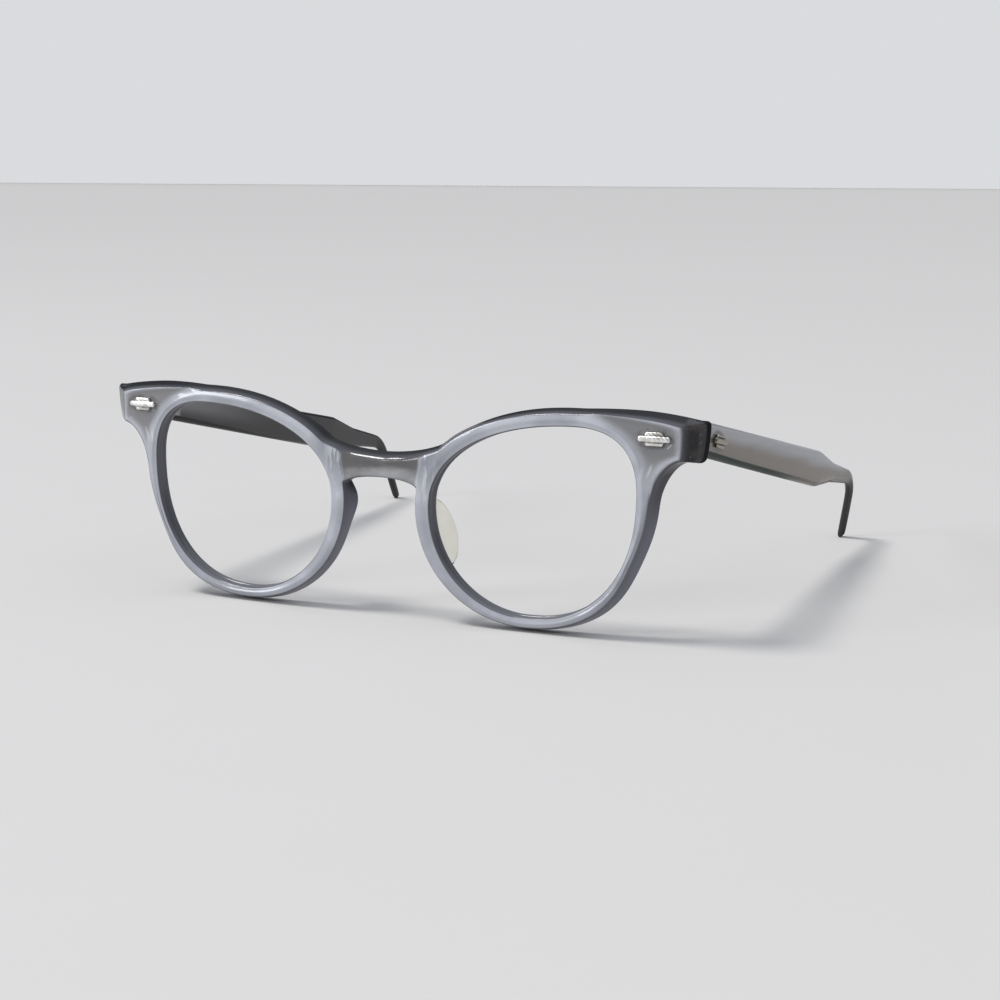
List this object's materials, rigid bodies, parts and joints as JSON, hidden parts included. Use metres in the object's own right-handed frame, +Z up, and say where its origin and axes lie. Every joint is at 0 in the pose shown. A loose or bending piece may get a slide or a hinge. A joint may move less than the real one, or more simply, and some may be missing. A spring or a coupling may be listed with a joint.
{
  "type": "eyeglasses frame",
  "caption": "Plastic eyeglasses frame with round rims, keyhole bridge, nose pads, metal plaques and temples that fold on screw hinges; it holds lenses in front of the eyes.",
  "frame": {"origin": "middle of the frame's bounding box at its lowest level, with the temples open", "axes": "+X to the wearer's left, +Y to the back along the open temples, +Z up"},
  "size_m": [0.1354, 0.1276, 0.0452],
  "materials": {
    "smoke_acetate": "polished translucent smoke-grey acetate",
    "clear_pad": "polished clear acetate, faintly yellowed",
    "plaque_silver": "worn nickel silver",
    "hinge_steel": "plain steel"
  },
  "bodies": {
    "front": {"front_frame": "smoke_acetate", "nose_pad_left": "clear_pad", "nose_pad_right": "clear_pad", "front_plaque_left": "plaque_silver", "front_plaque_right": "plaque_silver", "front_hinge_leaf_left": "hinge_steel", "front_hinge_leaf_right": "hinge_steel", "hinge_screw_left": "hinge_steel", "hinge_screw_right": "hinge_steel"},
    "left_temple": {"temple_left": "smoke_acetate", "temple_hinge_leaf_left": "hinge_steel", "temple_plaque_left": "plaque_silver"},
    "right_temple": {"temple_right": "smoke_acetate", "temple_hinge_leaf_right": "hinge_steel", "temple_plaque_right": "plaque_silver"}
  },
  "joints": [
    {"name": "left_temple_hinge", "type": "hinge", "parent": "front", "child": "left_temple", "pos_m": [0.0605, -0.05339, 0.03965], "axis": [0, 0, 1], "range_deg": [0, 90]},
    {"name": "right_temple_hinge", "type": "hinge", "parent": "front", "child": "right_temple", "pos_m": [-0.0605, -0.05339, 0.03965], "axis": [0, 0, -1], "range_deg": [0, 86]}
  ]
}
